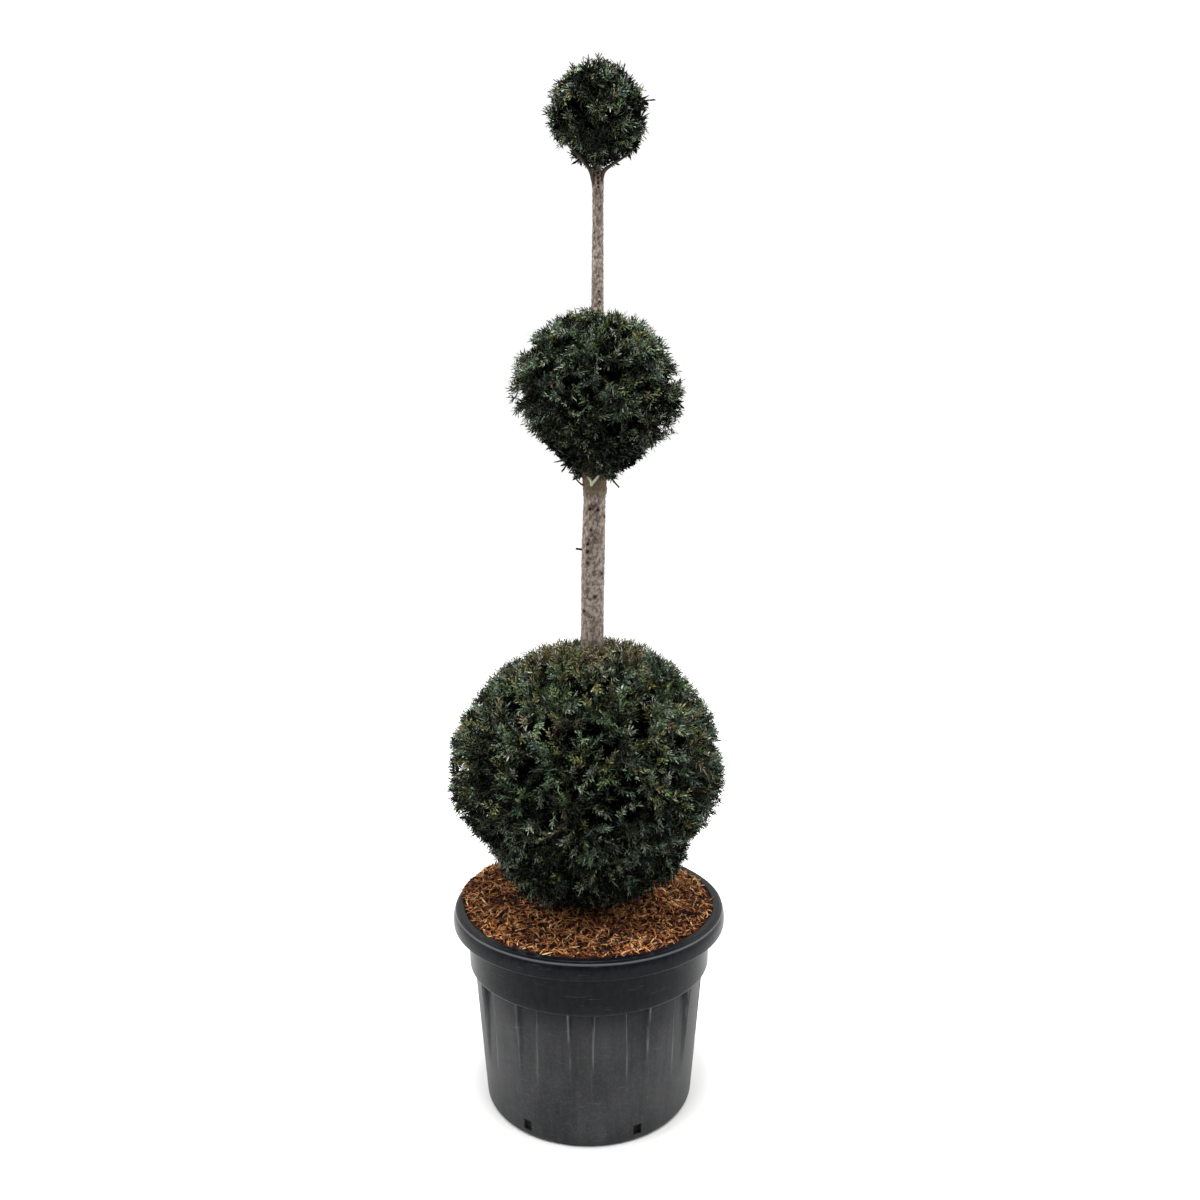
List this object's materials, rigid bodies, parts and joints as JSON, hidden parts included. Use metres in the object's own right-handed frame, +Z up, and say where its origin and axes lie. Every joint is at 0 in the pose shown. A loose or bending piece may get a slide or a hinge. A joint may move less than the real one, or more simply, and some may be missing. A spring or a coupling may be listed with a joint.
{
  "type": "potted yew triple ball topiary",
  "caption": "Clipped yew with stacked foliage balls on a bare stem, in a round fluted nursery pot filled and mulched to the rim.",
  "frame": {"origin": "centre of the pot's flat underside, on the ground", "axes": "+Z up along the stem, -Y towards the viewer at the front, +X to the viewer's right"},
  "size_m": [0.6076, 0.5993, 2.2354],
  "materials": {
    "pot_plastic": "injection-moulded, satin, dusty charcoal",
    "root_ball_soil": "moist peat, matt",
    "coir_mulch": "loose red-brown fibre and chips, matt",
    "stem_bark": "flaking grey-brown bark, matt",
    "bough_bark": "thin brown bark, matt",
    "yew_needles": "dark waxy needles with lighter tips"
  },
  "bodies": {
    "root": {"pot": "pot_plastic", "root_ball": "root_ball_soil", "mulch": "coir_mulch", "trunk": "stem_bark", "bough_middle_right": "bough_bark", "bough_middle_back_right": "bough_bark", "bough_middle_back_left": "bough_bark", "bough_middle_left": "bough_bark", "bough_middle_front": "bough_bark", "bough_top_left": "bough_bark", "bough_top_right": "bough_bark", "bough_top_back": "bough_bark", "bough_top_front": "bough_bark", "twig_thin_left": "bough_bark", "stub_pruned_front": "bough_bark", "twig_grey_right": "bough_bark", "stub_left": "bough_bark", "lower_ball": "yew_needles", "middle_ball": "yew_needles", "top_ball": "yew_needles"}
  },
  "joints": []
}
